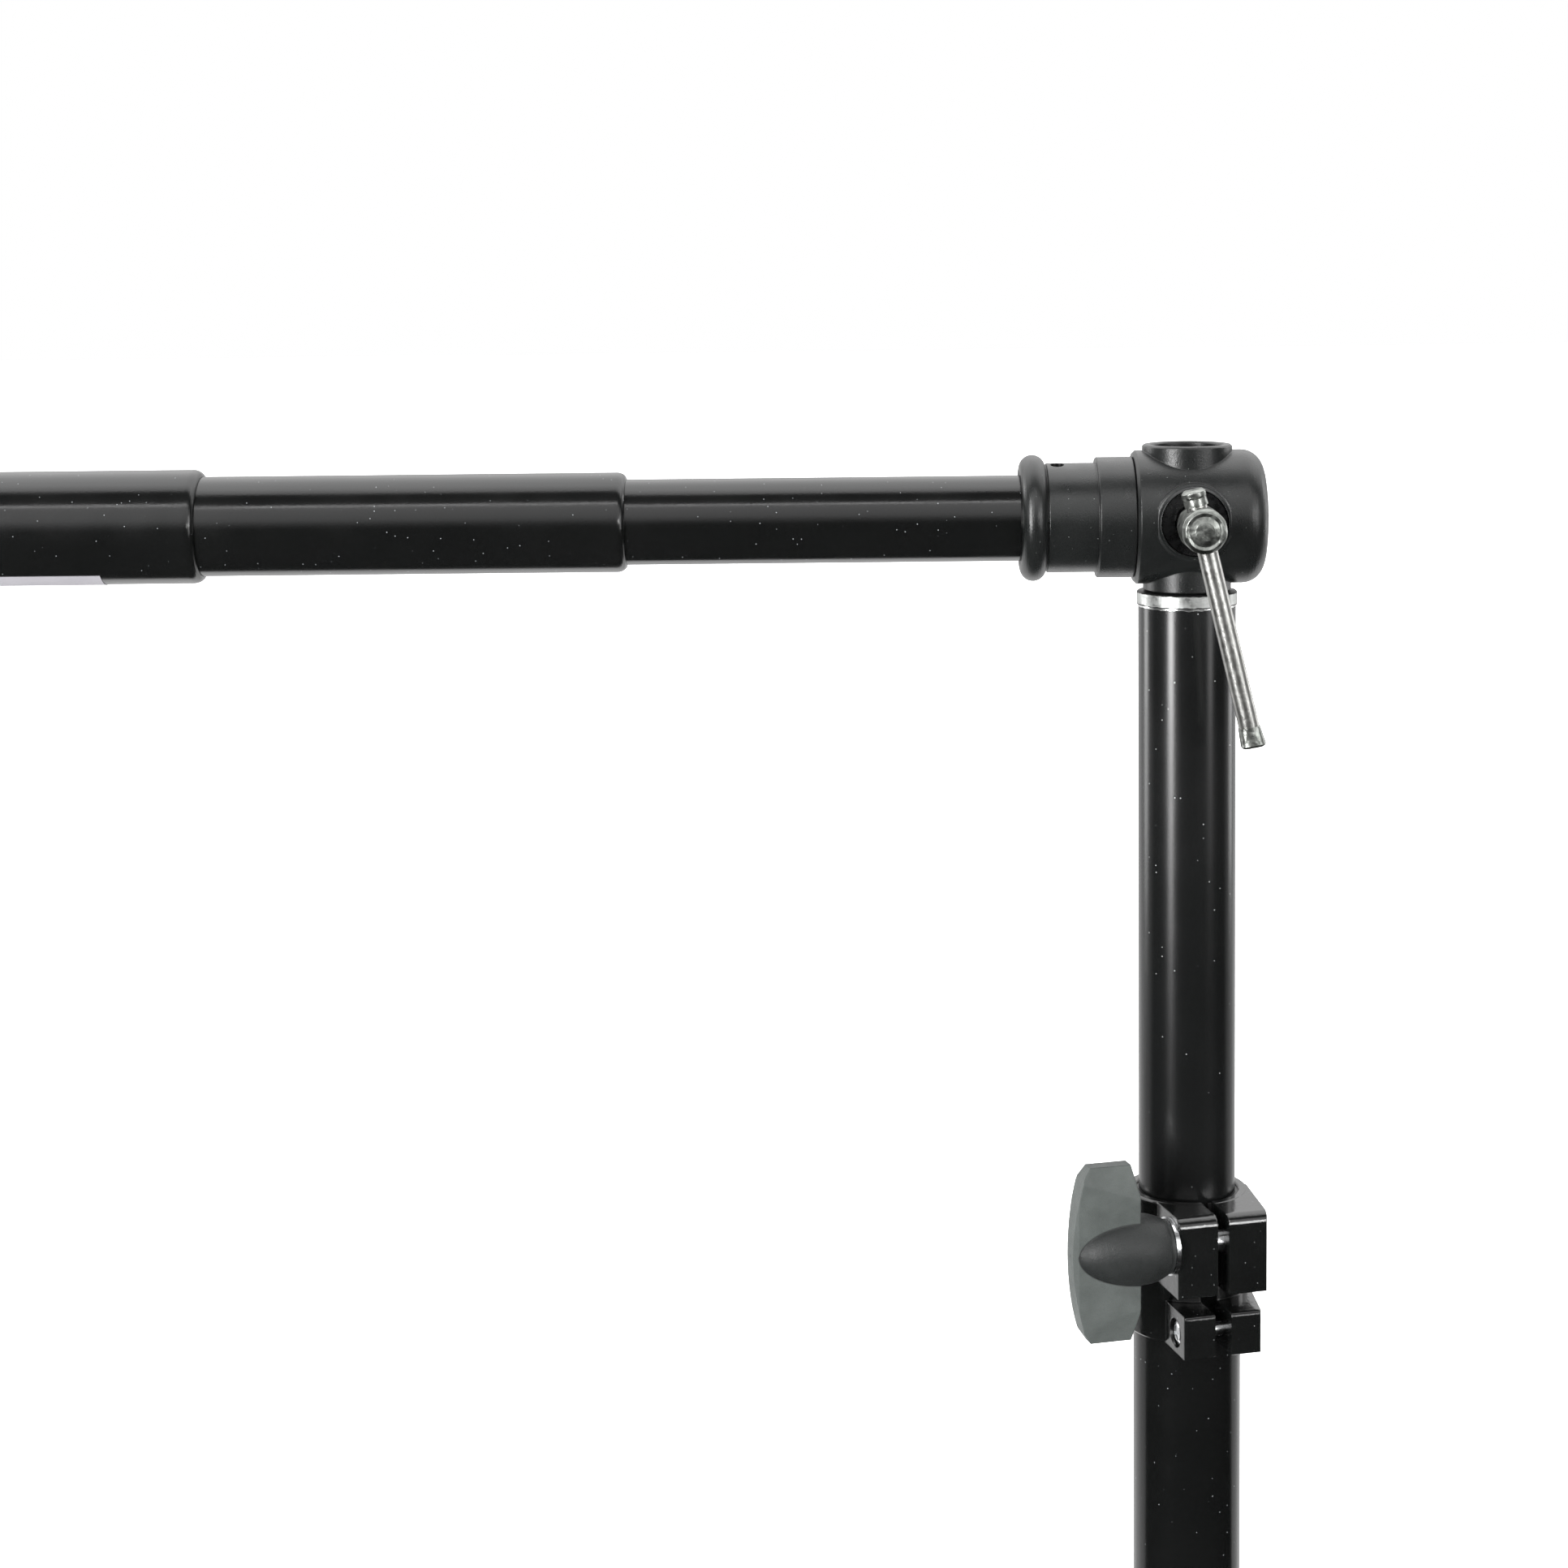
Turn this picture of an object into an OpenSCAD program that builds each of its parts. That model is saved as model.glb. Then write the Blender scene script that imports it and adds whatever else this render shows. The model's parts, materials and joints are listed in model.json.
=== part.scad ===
// Light stand with a tee head and a telescopic crossbar, standing on three folding legs.
// Millimetres. +Z is up, the origin is on the column's axis at the floor, and the crossbar
// points along -X. The front, with the T-handle screw, faces -Y.

/* [Heights] */
// Height of the crossbar's centre line above the floor
head_z = 1290; // [1250:5:1400]
// Distance from the crossbar's centre line down to the top of the clamp collar
collar_drop = 239.5; // [225:0.1:300]
// Height of the lower end of the riser
riser_foot = 345; // [340:1:360]

/* [Column and riser] */
// Outer diameter of the column tube
column_d = 38; // [38:0.1:38.2]
// Outer diameter of the riser tube
riser_d = 34; // [33.9:0.1:34]
// Wall of every tube
wall = 1.5; // [1.4:0.1:1.6]
// Radial running clearance between parts that move in each other
fit = 0.05; // [0.03:0.01:0.08]
// Radial gap between parts that are pressed or screwed together
snug = 0.02; // [0.01:0.01:0.03]

/* [Tee head] */
// Diameter of the head's body, which lies along the crossbar
head_d = 46.6; // [46:0.1:48]
// Distance from the column's axis to the body's closed end
head_right = 27.2; // [27:0.1:30]
// Distance from the column's axis to the body's other end
head_left = 19; // [17.5:0.1:19.4]
// Outer diameter of the socket that stands up from the head
socket_d = 31.2; // [31:0.1:33]
// Height of the socket's rim above the crossbar's centre line
socket_rim = 25.3; // [25:0.1:30]
// Diameter of the socket's open bore
socket_bore = 24.6; // [24.4:0.1:25]
// Diameter of the riser's spigot inside the head
spigot_d = 24; // [23.8:0.1:24]
// Outer diameter of the neck below the head
neck_d = 30.6; // [30:0.1:31]
// Distance from the crossbar's centre line down to the foot of the neck
neck_foot = 25.8; // [25.5:0.1:25.8]
// Diameter of the bright ring on top of the riser
ring_d = 35; // [34.5:0.1:36]
// Distance from the crossbar's centre line down to the ring's upper face
ring_upper = 25.9; // [25.9:0.1:26.5]
// Distance from the crossbar's centre line down to the ring's lower face
ring_lower = 30.5; // [29:0.1:32]

/* [Arm socket] */
// Diameter of the step next to the head's body
step_d = 42.1; // [41.5:0.1:43]
// Diameter of the sleeve
sleeve_d = 38.2; // [38:0.1:39]
// Greatest diameter of the bead round the mouth
bead_d = 44.1; // [43.5:0.1:45]
// Distance from the column's axis to the left end of the step
step_end = 31.9; // [30:0.1:33]
// Distance from the column's axis to the mouth
mouth_x = 58.4; // [57:0.1:60]
// Distance from the column's axis to the set screw
set_screw_x = 45.4; // [44:0.1:47]
// Radius of the set screw
set_screw_r = 2.4; // [2:0.1:2.5]
// Lean of the set screw towards the front
set_screw_lean = 10; // [0:1:15]

/* [Crossbar] */
// Outer diameter of the inner tube
inner_arm_d = 30; // [29.9:0.1:30]
// Outer diameter of the middle tube
middle_arm_d = 35; // [34.8:0.1:35.2]
// Outer diameter of the outer tube
outer_arm_d = 40; // [39.8:0.1:40.5]
// Length of the inner tube
inner_arm_len = 740; // [730:1:740]
// Length of the middle tube
middle_arm_len = 750.6; // [750:0.1:755]
// Length of the outer tube
outer_arm_len = 790; // [780:1:820]
// Distance from the column's axis to the inner tube's end in the head
inner_arm_start = 20; // [20:0.1:20.2]
// Distance from the column's axis to the middle tube's mouth
middle_arm_start = 195.4; // [190:0.1:200]
// Distance from the column's axis to the outer tube's mouth
outer_arm_start = 343.9; // [340:0.1:350]
// Length of the rolled-in edge at a tube's mouth
roll_len = 3.4; // [3:0.1:4]
// Length of the spigot at the far end
end_spigot_len = 60; // [50:1:80]

/* [Clamp collar] */
// Angle of the lugs away from the front
collar_yaw = 15; // [10:1:20]
// Outer diameter of the collar's ring
collar_d = 43; // [42.6:0.1:44]
// Height of the collar
collar_h = 50.3; // [50:0.1:52]
// Distance from the column's axis to the front of the lugs
lug_reach = 34.6; // [34.4:0.1:37]
// Half the width across the upper lugs
upper_lug_half = 16.4; // [16:0.1:16.8]
// Half the width across the lower lugs
lower_lug_half = 14.2; // [13.8:0.1:14.6]
// Half the width of the slot between the upper lugs
upper_slot_half = 2.1; // [1.5:0.1:2.5]
// Half the width of the slot between the lower lugs
lower_slot_half = 3; // [2:0.1:3.5]
// Depth of the upper lugs' underside below the collar's top
upper_lug_foot = 28.6; // [27:0.1:30]
// Depth of the lower lugs' top below the collar's top
lower_lug_top = 35; // [34:0.1:36]

/* [Wing knob] */
// Distance from the column's axis to the knob's axis
knob_reach = 27.2; // [27:0.1:27.4]
// Depth of the knob's axis below the collar's top
knob_drop = 11.4; // [11:0.1:13.5]
// Diameter of the knob's hub
hub_d = 24.4; // [24:0.1:26]
// Span of the wing
wing_span = 62; // [56:1:62]
// Thickness of the wing at its root
wing_root_t = 12; // [10:0.5:13]
// Thickness of the wing at its outer edge
wing_edge_t = 8; // [6:0.5:9]

/* [T-handle screw] */
// Diameter of the head of the screw
screw_head_d = 15.5; // [15:0.1:16]
// Diameter of the sliding bar
bar_d = 7; // [6.8:0.1:7]
// Lean of the bar away from the vertical
bar_tilt = 13.3; // [0:0.1:20]
// Distance from the screw's axis to the lower end of the bar
bar_reach = 75.8; // [70:0.1:76]

/* [Base] */
// Outer diameter of the hub tube that the legs turn on
hub_tube_d = 44; // [43.5:0.1:44]
// Height of the underside of the hub
hub_foot = 168; // [165:1:170]
// Outer diameter of the leg tubes
leg_d = 25; // [24:0.1:25]
// Centre radius of the bends in the legs
bend_r = 60; // [55:1:65]
// Distance from the column's axis to the start of a leg's first bend
leg_run = 150; // [140:1:160]
// Length of the flat end of a leg
foot_run = 70; // [65:1:80]
// Direction of the high leg about the column
high_leg_yaw = 180; // [170:5:190]
// Direction of the middle leg about the column
middle_leg_yaw = 60; // [50:5:70]
// Direction of the low leg about the column
low_leg_yaw = -60; // [-70:5:-50]

/* [Hidden] */
$fn = 96;
eps = 0.5;
arm_d = [inner_arm_d, middle_arm_d, outer_arm_d];
arm_len = [inner_arm_len, middle_arm_len, outer_arm_len];
arm_start = [inner_arm_start, middle_arm_start, outer_arm_start];
lug_half = [upper_lug_half, lower_lug_half];
slot_half = [upper_slot_half, lower_slot_half];
lug_span = [[0.2, upper_lug_foot], [lower_lug_top, collar_h]];
leg_yaw = [high_leg_yaw, middle_leg_yaw, low_leg_yaw];
column_r = column_d / 2;
column_bore = column_r - wall;
riser_r = riser_d / 2;
riser_bore = riser_r - wall;
collar_top = head_z - collar_drop;
bush_top = 1;
bush_flange = [30.2, 32.2];
column_top = collar_top - bush_flange[1];
spigot_r = spigot_d / 2;
spigot_top = 8;
collar_r = collar_d / 2;
knob_r = 4;
knob_nut_size = [13, 6];
clamp_r = 2.5;
clamp_head_r = 4.75;
clamp_head_depth = 3.4;
clamp_nut_size = [8, 4];
boss_face = 24.75;
insert_r = 9;
insert_flange_r = 11.5;
insert_seat = 22.5;
set_screw_len = 3;
bar_y = 44;
bar_r = bar_d / 2;
screw_r = 6;
screw_head_r = screw_head_d / 2;
screw_head_len = 19;
bar_cap_len = [6, 7];
cap_seat = screw_head_r + 0.1;
clamp_at = [25.2, 43.4];
sleeve_h = 30;
sleeve_gap = 2;
sleeve_wall = 5;
hub_floor = hub_foot + 8;
hub_r = hub_tube_d / 2;
hub_clamp_h = 28;
hub_clamp_z = hub_floor + 3 * (sleeve_h + sleeve_gap);
base_screw_z = hub_clamp_z + hub_clamp_h / 2;
base_bar_x = 54;
base_screw_r = 5;
leg_bore = leg_d / 2 - wall;
foot_r = leg_d / 2 + 3;
foot_z = foot_r - 0.6;
bend = 45;
lap = 1;
seam = 0.05;
end_flange_len = 4;
end_x = arm_start[2] + arm_len[2];

// ---- shared shapes ----

// Points on a circular arc, from angle a0 to angle a1
function arc(centre, r, a0, a1, n = 10) =
    [for (i = [0:n]) let (a = a0 + (a1 - a0) * i / n) centre + r * [cos(a), sin(a)]];

// A tube along Z between two heights
module tube_z(low, high, r_out, r_in) {
    translate([0, 0, low])
        rotate_extrude()
            translate([r_in, 0]) square([r_out - r_in, high - low]);
}

// Turns +Z to -X, so that heights become distances to the left of the column's axis
module leftwards() {
    translate([0, 0, head_z]) rotate([0, -90, 0]) children();
}

// Turns +Z to -Y at the head, so that heights become distances in front of the column's axis
module forwards() {
    translate([0, 0, head_z]) rotate([90, 0, 0]) children();
}

// The collar's own frame: +X along the lugs, +Y away from the knob, Z = 0 at the collar's top
module in_collar() {
    translate([0, 0, collar_top]) rotate([0, 0, collar_yaw - 90]) children();
}

// Along the knob's screw in the collar's frame: +Z points at the knob, +Y points up
module across_lugs(reach, drop) {
    in_collar() translate([reach, 0, -drop]) rotate([90, 0, 0]) children();
}

// A hexagonal prism with flats facing +X and -X, given its width across flats
module hexagon(across, h) {
    rotate([0, 0, 30]) cylinder(d = across / cos(30), h = h, $fn = 6);
}

// A solid of revolution about Z with the given outline of [radius, height] points
module turned(outline) {
    rotate_extrude() polygon(outline);
}

// ---- column, riser and what joins them ----

module column_tube() {
    color("#101112") tube_z(hub_floor, column_top, column_r, column_bore);
}

module column_plug() {
    color("#2a2a2a") tube_z(hub_floor, hub_floor + 14, column_bore - snug, 6);
}

module riser_tube() {
    color("#141516") tube_z(riser_foot, head_z - ring_lower, riser_r, riser_bore);
}

// The nylon guide at the riser's foot slides in the column, and the riser turns on it
module riser_bush() {
    color("#d8d6cc")
        turned([
            [8, riser_foot - 25],
            [column_bore - fit - 1, riser_foot - 25],
            [column_bore - fit, riser_foot - 24],
            [column_bore - fit, riser_foot - 0.1],
            [riser_bore - fit, riser_foot - 0.1],
            [riser_bore - fit, riser_foot + 20],
            [8, riser_foot + 20]
        ]);
}

// Plug in the riser, bright ring on top of it, and the spigot that the head turns on
module riser_spigot() {
    foot = head_z - ring_lower;
    edge = 0.4;
    color("#d9dadb")
        turned([
            [0, foot - 40],
            [riser_bore - snug, foot - 40],
            [riser_bore - snug, foot + snug],
            [ring_d / 2, foot + snug],
            [ring_d / 2, head_z - ring_upper - edge],
            [ring_d / 2 - edge, head_z - ring_upper],
            [spigot_r, head_z - ring_upper],
            [spigot_r, head_z + spigot_top - 1],
            [spigot_r - 1, head_z + spigot_top],
            [0, head_z + spigot_top]
        ]);
}

// ---- tee head ----

// Outline of the body along the crossbar, with a flat left end and a domed right end
function head_outline() = let (r = head_d / 2, round_r = 7.5, crown = 1)
    concat(
        [[0, -head_left], [r - 1, -head_left], [r, 1 - head_left]],
        arc([r - round_r, head_right - crown - round_r], round_r, 0, 85),
        [for (i = [1:6]) let (q = (r - round_r) * (1 - i / 6))
            [q, head_right - crown * pow(q / (r - round_r), 2)]]
    );

module head_body() {
    rotate([0, 90, 0]) turned(head_outline());
}

// Upright socket above and neck below, in one turning
module head_stem() {
    edge = 0.6;
    turned([
        [0, -neck_foot], [neck_d / 2 - edge, -neck_foot], [neck_d / 2, edge - neck_foot],
        [neck_d / 2, 0], [socket_d / 2, 0], [socket_d / 2, socket_rim - edge],
        [socket_d / 2 - edge, socket_rim], [0, socket_rim]
    ]);
}

// Raised rim round the screw insert, with a hollow curve down to the body
module head_boss() {
    face_r = 11.9;
    curve_r = 1.6;
    rotate([90, 0, 0])
        turned(concat(
            [[0, 10], [face_r + curve_r, 10]],
            arc([face_r + curve_r, boss_face - 0.3], curve_r, 270, 180, 6),
            [[face_r - 0.3, boss_face], [0, boss_face]]
        ));
}

module head_bores() {
    mouth_edge = 0.6;
    translate([0, 0, -neck_foot - eps])
        cylinder(r = spigot_r + fit, h = neck_foot + spigot_top + 2 * eps);
    translate([0, 0, spigot_top + 0.3]) cylinder(d = socket_bore, h = socket_rim);
    translate([0, 0, socket_rim - mouth_edge])
        cylinder(d1 = socket_bore, d2 = socket_bore + 4 * mouth_edge, h = 2 * mouth_edge);
    rotate([90, 0, 0]) translate([0, 0, 5]) cylinder(r = insert_r, h = 20);
    rotate([90, 0, 0]) translate([0, 0, insert_seat]) cylinder(r = insert_flange_r, h = 10);
    rotate([0, -90, 0]) translate([0, 0, 14.5]) cylinder(d = arm_d[0], h = 10);
}

module tee_head() {
    color("#27292a")
        translate([0, 0, head_z])
            difference() {
                union() {
                    head_body();
                    head_stem();
                    head_boss();
                }
                head_bores();
            }
}

// Stepped socket for the crossbar, with a rounded bead at its mouth
module arm_socket() {
    bead_r = 4.5;
    bead_x = mouth_x - bead_r;
    bead_mid = bead_d / 2 - bead_r;
    sleeve_r = sleeve_d / 2;
    groove = 0.5;
    tube_r = arm_d[0] / 2 + snug;
    join = asin((sleeve_r - groove - bead_mid) / bead_r);
    color("#27292a")
        difference() {
            leftwards()
                turned(concat(
                    [[10, 14.6], [15 - snug, 14.6], [15 - snug, head_left], [step_d / 2 - 0.4, head_left],
                     [step_d / 2, head_left + 0.4], [step_d / 2, step_end - 0.4],
                     [step_d / 2 - 0.4, step_end], [sleeve_r, step_end],
                     [sleeve_r, bead_x - bead_r - groove], [sleeve_r - groove, bead_x - bead_r]],
                    arc([bead_mid, bead_x], bead_r, join - 90, 90, 14),
                    [[tube_r, mouth_x - 1], [tube_r, arm_start[0] - 0.2], [10, arm_start[0] - 0.2]]
                ));
            at_set_screw(0) cylinder(r = set_screw_r, h = 30);
        }
}

// Along the set screw, which leans to the front; r is a distance from the crossbar's centre line
module at_set_screw(r) {
    translate([-set_screw_x, 0, head_z]) rotate([set_screw_lean, 0, 0]) translate([0, 0, r]) children();
}

// Hollow-hexagon grub screw that holds the crossbar in its socket
module set_screw() {
    color("#18191a")
        at_set_screw(arm_d[0] / 2 + 0.1)
            difference() {
                cylinder(r = set_screw_r - snug, h = set_screw_len);
                translate([0, 0, 1.2]) hexagon(2.5, 3);
            }
}

// Threaded bush in the head's boss
module screw_insert() {
    color("#1b1c1d")
        forwards()
            turned([
                [screw_r + fit, 12.8], [insert_r - snug, 12.8], [insert_r - snug, insert_seat],
                [insert_flange_r - snug, insert_seat], [insert_flange_r - snug, insert_seat + 1.2],
                [insert_flange_r - 0.3, insert_seat + 1.5], [screw_r + 1, insert_seat + 1.5],
                [screw_r + fit, insert_seat + 0.7]
            ]);
}

// ---- screws with a sliding bar ----

// Brass pad between a screw's tip and what it presses on
module pad(gap, r, thickness) {
    translate([0, 0, gap]) cylinder(r = r, h = thickness);
}

// Screw along +Z from its tip, with a domed cylindrical head and a cross hole along Y
module bar_screw(tip, r, head_at, hole_at) {
    top = head_at + screw_head_len;
    dome = 3;
    difference() {
        turned(concat(
            [[0, tip], [r - 0.8, tip], [r, tip + 0.8], [r, head_at],
             [screw_head_r - 1.2, head_at], [screw_head_r, head_at + 1.5], [screw_head_r, top - dome]],
            [for (i = [1:6]) let (a = 15 * i) [screw_head_r * cos(a), top - dome + dome * sin(a)]]
        ));
        translate([0, 0, hole_at]) rotate([90, 0, 0]) cylinder(r = bar_r + 0.1, h = 40, center = true);
    }
}

// Sliding bar along -Y, which rests with its upper cap against the screw's head
module sliding_bar() {
    rotate([90, 0, 0])
        translate([0, 0, -cap_seat - bar_cap_len[0] + 1])
            cylinder(r = bar_r, h = cap_seat + bar_cap_len[0] + bar_reach - 2);
}

// The caps on the bar's two ends: a plain one and one that flares out
module bar_caps() {
    seat_r = bar_r + snug;
    upper = cap_seat + bar_cap_len[0];
    lower = bar_reach - bar_cap_len[1];
    rotate([90, 0, 0]) {
        turned([
            [0, -upper], [3.4, -upper], [4.25, 0.8 - upper], [4.25, -cap_seat], [seat_r, -cap_seat],
            [seat_r, 0.98 - upper], [0, 0.98 - upper]
        ]);
        turned([
            [seat_r, lower], [3.9, lower], [4.5, bar_reach - 1], [4.1, bar_reach], [0, bar_reach],
            [0, bar_reach - 0.98], [seat_r, bar_reach - 0.98]
        ]);
    }
}

module t_pad() {
    color("#b9a15a") forwards() pad(spigot_r + 0.1, screw_r - 0.1, 1.9);
}

module t_screw() {
    color("#9a9b98")
        forwards() rotate([0, 0, bar_tilt]) bar_screw(14.05, screw_r, 35, bar_y);
}

module at_t_bar() {
    forwards() rotate([0, 0, bar_tilt]) translate([0, 0, bar_y]) children();
}

module t_bar() {
    color("#c9cac8") at_t_bar() sliding_bar();
}

module t_bar_caps() {
    color("#9a9b98") at_t_bar() bar_caps();
}

// ---- crossbar ----

// One tube of the crossbar with its mouth rolled in to run on the tube inside it
module rolled_tube(i) {
    r = arm_d[i] / 2;
    lip = arm_d[i - 1] / 2 + fit;
    leftwards()
        translate([0, 0, arm_start[i]])
            turned(concat(
                [for (k = [0:8]) let (a = k * 90 / 8)
                    [lip + (r - lip) * sin(a), roll_len * (1 - cos(a))]],
                [[r, arm_len[i]], [r - wall, arm_len[i]], [r - wall, roll_len], [lip, wall]]
            ));
}

// Nylon liner behind a rolled mouth
module mouth_bush(i) {
    leftwards()
        tube_z(arm_start[i] + roll_len + 0.5, arm_start[i] + roll_len + 30,
               arm_d[i] / 2 - wall - snug, arm_d[i - 1] / 2 + fit);
}

// Plug in a tube's far end, with the pin that the twist lock turns on
module lock_spindle(i) {
    end = arm_start[i] + arm_len[i];
    leftwards()
        turned([
            [0, end - 20], [arm_d[i] / 2 - wall - snug, end - 20], [arm_d[i] / 2 - wall - snug, end],
            [arm_d[i] / 2 - 1, end], [arm_d[i] / 2 - 1, end + 3], [6, end + 3], [6, end + 20.1],
            [9, end + 20.1], [9, end + 23], [8, end + 24], [0, end + 24]
        ]);
}

// Nylon ring of a twist lock, which grips the tube round it
module lock_ring(i) {
    end = arm_start[i] + arm_len[i];
    grip_r = arm_d[i + 1] / 2 - wall - fit;
    leftwards()
        turned([
            [6 + fit, end + 3.1], [grip_r - 1, end + 3.1], [grip_r, end + 4.1], [grip_r, end + 10],
            [grip_r - 1, end + 10.5], [grip_r - 1, end + 13], [grip_r, end + 13.5],
            [grip_r, end + 19], [grip_r - 1, end + 20], [6 + fit, end + 20]
        ]);
}

module inner_arm_tube() {
    color("#0c0d0e")
        leftwards() tube_z(arm_start[0], arm_start[0] + arm_len[0], arm_d[0] / 2, arm_d[0] / 2 - wall);
}

module inner_arm_spindle() {
    color("#2a2a2a") lock_spindle(0);
}

module middle_lock_ring() {
    color("#d8d6cc") lock_ring(0);
}

module middle_arm_tube() {
    color("#0c0d0e") rolled_tube(1);
}

module middle_mouth_bush() {
    color("#1d1d1d") mouth_bush(1);
}

module middle_arm_spindle() {
    color("#2a2a2a") lock_spindle(1);
}

module outer_lock_ring() {
    color("#d8d6cc") lock_ring(1);
}

module outer_arm_tube() {
    color("#0c0d0e") rolled_tube(2);
}

module outer_mouth_bush() {
    color("#1d1d1d") mouth_bush(2);
}

// Plug in the far end of the crossbar, with the spigot that goes into a second head
module end_spigot() {
    face = end_x + end_flange_len;
    tip = face + end_spigot_len;
    r = arm_d[0] / 2;
    color("#27292a")
        leftwards()
            turned([
                [0, end_x - 30], [arm_d[2] / 2 - wall - snug, end_x - 30],
                [arm_d[2] / 2 - wall - snug, end_x + snug], [arm_d[2] / 2, end_x + snug],
                [arm_d[2] / 2, face - 0.8], [arm_d[2] / 2 - 0.8, face], [r, face], [r, tip - 1],
                [r - 1, tip], [0, tip]
            ]);
}

// ---- clamp collar ----

// Plan of a pair of lugs: straight beside the knob, and running into the ring on the other side
module lug_plan(half) {
    corner = 1.2;
    far = norm([lug_reach, half]);
    touch = acos(collar_r / far) + atan(half / lug_reach);
    polygon(concat(
        [[0, -half]],
        arc([lug_reach - corner, corner - half], corner, -90, 0, 4),
        arc([lug_reach - corner, half - corner], corner, 0, 80, 4),
        [collar_r * [cos(touch), sin(touch)], [0, 0]]
    ));
}

// Side view of a pair of lugs, with round edges above and below the front face
module lug_side(span, upper_round, lower_round) {
    polygon(concat(
        [[0, -span[1]]],
        arc([lug_reach - lower_round, lower_round - span[1]], lower_round, -90, 0, 6),
        arc([lug_reach - upper_round, -upper_round - span[0]], upper_round, 0, 90, 8),
        [[0, -span[0]]]
    ));
}

module lugs(i, upper_round, lower_round) {
    intersection() {
        translate([0, 0, -collar_h]) linear_extrude(collar_h) lug_plan(lug_half[i]);
        rotate([90, 0, 0])
            linear_extrude(60, center = true) lug_side(lug_span[i], upper_round, lower_round);
    }
}

// The slot and the bores for the bush and the column
module collar_cuts() {
    edge = 0.6;
    split = (lug_span[0][1] + lug_span[1][0]) / 2;
    translate([0, 0, -bush_flange[0]]) cylinder(r = riser_r + 1, h = bush_flange[0] + eps);
    translate([0, 0, -edge]) cylinder(r1 = riser_r + 1, r2 = riser_r + 1 + 2 * edge, h = 2 * edge);
    translate([0, 0, -collar_h - eps])
        cylinder(r = column_r + snug, h = collar_h + eps - bush_flange[0]);
    translate([0, -slot_half[0], -split]) cube([60, 2 * slot_half[0], split + eps]);
    translate([0, -slot_half[1], -collar_h - eps])
        cube([60, 2 * slot_half[1], collar_h - split + 2 * eps]);
}

// Holes for the knob's screw and the small clamp screw, with seats for their nuts and head
module lug_holes() {
    translate([knob_reach, 0, -knob_drop]) rotate([90, 0, 0]) {
        cylinder(r = knob_r + fit, h = 60, center = true);
        translate([0, 0, -lug_half[0] - eps])
            hexagon(knob_nut_size[0] + 2 * snug, knob_nut_size[1] + eps);
    }
    translate([clamp_at[0], 0, -clamp_at[1]]) rotate([90, 0, 0]) {
        cylinder(r = clamp_r + 0.1, h = 60, center = true);
        translate([0, 0, lug_half[1] - clamp_head_depth]) cylinder(r = clamp_head_r + 0.25, h = 10);
        translate([0, 0, -lug_half[1] - eps])
            hexagon(clamp_nut_size[0] + 2 * snug, clamp_nut_size[1] + eps);
    }
}

module collar_body() {
    edge = 0.7;
    color("#0d0e0f")
        in_collar()
            difference() {
                union() {
                    turned([
                        [0, -collar_h], [collar_r - edge, -collar_h], [collar_r, edge - collar_h],
                        [collar_r, -edge], [collar_r - edge, 0], [0, 0]
                    ]);
                    lugs(0, 4, 1.5);
                    lugs(1, 1.5, 1.5);
                }
                collar_cuts();
                lug_holes();
            }
}

// Split nylon bush between the collar and the riser
module collar_bush() {
    color("#1d1d1d")
        in_collar()
            difference() {
                turned([
                    [riser_r + fit, -bush_flange[1] + snug], [column_r - 0.1, -bush_flange[1] + snug],
                    [column_r - 0.1, -bush_flange[0] - snug], [riser_r + 1 - snug, -bush_flange[0] - snug],
                    [riser_r + 1 - snug, -bush_top], [riser_r + fit, -bush_top]
                ]);
                translate([0, -1, -60]) cube([60, 2, 60]);
            }
}

// Small cross-head screw that clamps the collar on the column
module clamp_screw() {
    head_foot = lug_half[1] - clamp_head_depth + snug;
    r = clamp_head_r;
    color("#d0d1d2")
        across_lugs(clamp_at[0], clamp_at[1])
            difference() {
                turned([
                    [0, 1 - lug_half[1]], [clamp_r, 1 - lug_half[1]], [clamp_r, head_foot],
                    [r, head_foot], [r, head_foot + 1.2], [r - 0.55, head_foot + 2.1],
                    [r - 1.95, head_foot + 2.8], [0, head_foot + 3.1]
                ]);
                for (turn = [0, 90])
                    rotate([0, 0, turn + 20])
                        translate([-2.6, -0.6, head_foot + 1.4]) cube([5.2, 1.2, 3]);
            }
}

module clamp_nut() {
    color("#d0d1d2")
        across_lugs(clamp_at[0], clamp_at[1])
            translate([0, 0, snug - lug_half[1]])
                difference() {
                    hexagon(clamp_nut_size[0], clamp_nut_size[1] - 2 * snug);
                    translate([0, 0, -eps]) cylinder(r = clamp_r + snug, h = clamp_nut_size[1] + 1);
                }
}

// ---- wing knob ----

module knob_nut() {
    color("#d0d1d2")
        across_lugs(knob_reach, knob_drop)
            translate([0, 0, snug - lug_half[0]])
                difference() {
                    hexagon(knob_nut_size[0], knob_nut_size[1] - 2 * snug);
                    translate([0, 0, -eps]) cylinder(r = knob_r + fit, h = knob_nut_size[1] + 1);
                }
}

module knob_washer() {
    color("#d0d1d2")
        across_lugs(knob_reach, knob_drop)
            tube_z(lug_half[0] + 0.1, lug_half[0] + 1.6, 10, knob_r + fit);
}

module knob_stud() {
    color("#d0d1d2")
        across_lugs(knob_reach, knob_drop)
            translate([0, 0, -lug_half[0]]) cylinder(r = knob_r, h = lug_half[0] + 31);
}

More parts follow.
